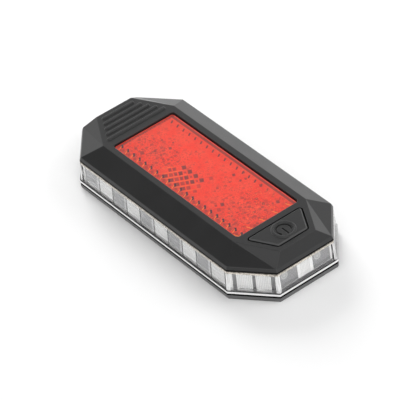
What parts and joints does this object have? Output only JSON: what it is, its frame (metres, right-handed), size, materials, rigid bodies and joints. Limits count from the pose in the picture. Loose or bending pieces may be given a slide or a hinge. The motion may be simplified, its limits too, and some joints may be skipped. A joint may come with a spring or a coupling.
{
  "type": "bicycle rear light",
  "caption": "Low octagonal bicycle rear light with a red prismatic reflector window, a wide power key at one end and a clear light band all round.",
  "frame": {"origin": "middle of the flat back, under the centre of the overall box", "axes": "+X towards the end with the power key, +Z out of the reflector window, +Y across"},
  "size_m": [0.1026, 0.045, 0.0165],
  "materials": {
    "cover_black": "fine textured black",
    "key_black": "fine textured black, slightly smoother",
    "reflector_red": "transparent red with moulded prisms",
    "lens_clear": "clear polycarbonate",
    "frame_white": "bright white",
    "pane_grey": "translucent grey",
    "gasket_black": "soft black",
    "port_rubber": "matte black rubber",
    "tape_black": "adhesive foam",
    "led_white": "moulded resin",
    "board_green": "solder mask",
    "strip_white": "white solder mask",
    "chip_black": "moulded epoxy",
    "chip_tan": "fired ceramic",
    "steel": "bright steel",
    "spring_steel": "spring steel",
    "pouch_foil": "laminated foil",
    "lead_red": "red insulation",
    "lead_black": "black insulation"
  },
  "bodies": {
    "case": {"base_gasket": "gasket_black", "battery": "pouch_foil", "battery_board": "board_green", "battery_lead_far": "lead_black", "battery_lead_near": "lead_red", "battery_tape": "tape_black", "bottom_cover": "cover_black", "button_end_led_strip": "strip_white", "button_end_leds": "led_white", "button_end_panes": "pane_grey", "button_gasket": "gasket_black", "capacitors": "chip_tan", "cell_frame": "frame_white", "charge_light": "led_white", "charger_chip": "chip_black", "controller_chip": "chip_black", "cover_screws": "steel", "driver_inductor": "chip_black", "far_led_strip": "strip_white", "far_side_leds": "led_white", "far_side_panes": "pane_grey", "light_chamber": "frame_white", "main_board": "board_green", "near_led_strip": "strip_white", "near_side_leds": "led_white", "near_side_panes": "pane_grey", "port_strap": "port_rubber", "rear_leds": "led_white", "reflector": "reflector_red", "reflector_tape": "tape_black", "resistors": "chip_black", "side_lens": "lens_clear", "switch_body": "chip_black", "switch_dome": "spring_steel", "top_cover": "cover_black", "top_gasket": "gasket_black", "usb_blade": "chip_black", "usb_shell": "steel"},
    "power_button": {"power_button": "key_black"},
    "switch_plunger": {"switch_plunger": "key_black"},
    "port_cover": {"port_cover": "port_rubber"}
  },
  "joints": [
    {"name": "power_button_press", "type": "slide", "parent": "case", "child": "power_button", "axis": [0, 0, -1], "range_m": [0, 0.0005], "stiffness_N_per_m": 3200},
    {"name": "switch_plunger_press", "type": "slide", "parent": "case", "child": "switch_plunger", "axis": [0, 0, -1], "range_m": [0, 0.0005], "deforming": ["switch_dome"]},
    {"name": "port_cover_hinge", "type": "hinge", "parent": "case", "child": "port_cover", "pos_m": [-0.05095, 0.0069, 0.0069], "axis": [0, 0, -1], "range_deg": [0, 110]}
  ],
  "couplings": [
    {"joint": "switch_plunger_press", "follows": "power_button_press", "ratio": 1}
  ]
}
